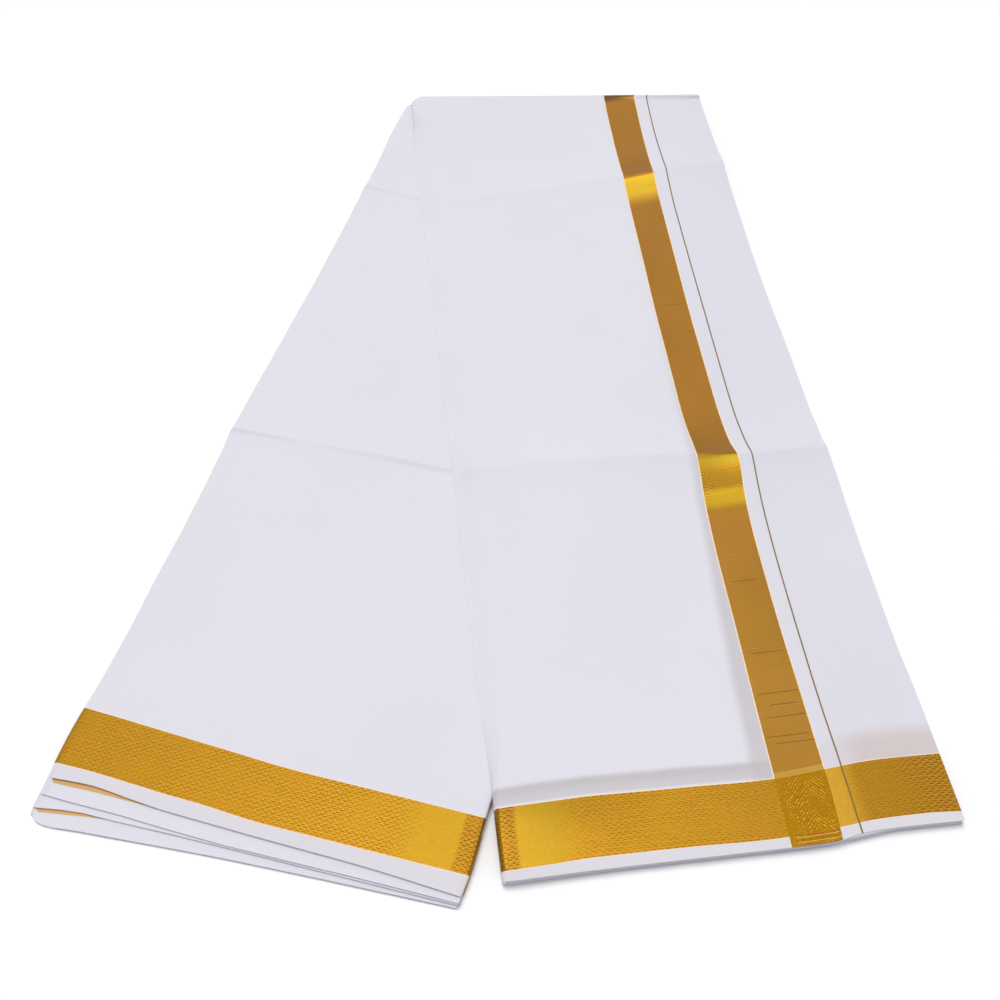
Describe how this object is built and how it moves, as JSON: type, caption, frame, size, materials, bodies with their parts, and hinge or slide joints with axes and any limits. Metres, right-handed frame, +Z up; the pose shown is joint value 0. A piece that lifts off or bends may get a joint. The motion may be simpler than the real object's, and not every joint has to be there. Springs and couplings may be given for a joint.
{
  "type": "folded dhoti cloth with gold zari borders",
  "caption": "White cotton dhoti with woven gold zari borders and cross band, folded into a strip and folded over into an inverted V, lying flat.",
  "frame": {"origin": "middle of the whole footprint, on the table the cloth lies on", "axes": "+X along the fold to the right, +Y from the hems to the fold, +Z up from the table"},
  "size_m": [0.4576, 0.651, 0.016],
  "materials": {
    "cotton": "fine plain-woven bleached cotton, matt, with soft press creases",
    "border_zari": "woven metallic gold thread in a small lozenge weave, satin sheen",
    "band_zari": "woven metallic gold thread in fine cross ribs, satin sheen"
  },
  "bodies": {
    "root": {"band_crossing": "band_zari", "cross_band": "band_zari", "inner_layers": "cotton", "lower_leg_border": "border_zari", "lower_leg_layer_2_border": "border_zari", "lower_leg_layer_2_selvedge": "cotton", "lower_leg_layer_3_border": "border_zari", "lower_leg_layer_3_selvedge": "cotton", "lower_leg_layer_4_border": "border_zari", "lower_leg_layer_4_selvedge": "cotton", "lower_leg_panel": "cotton", "lower_leg_selvedge": "cotton", "upper_leg_border": "border_zari", "upper_leg_border_side": "border_zari", "upper_leg_layer_2": "cotton", "upper_leg_layer_3": "cotton", "upper_leg_layer_4": "cotton", "upper_leg_panel": "cotton", "upper_leg_selvedge": "cotton", "upper_leg_selvedge_side": "cotton", "upper_leg_side": "cotton"}
  },
  "joints": []
}
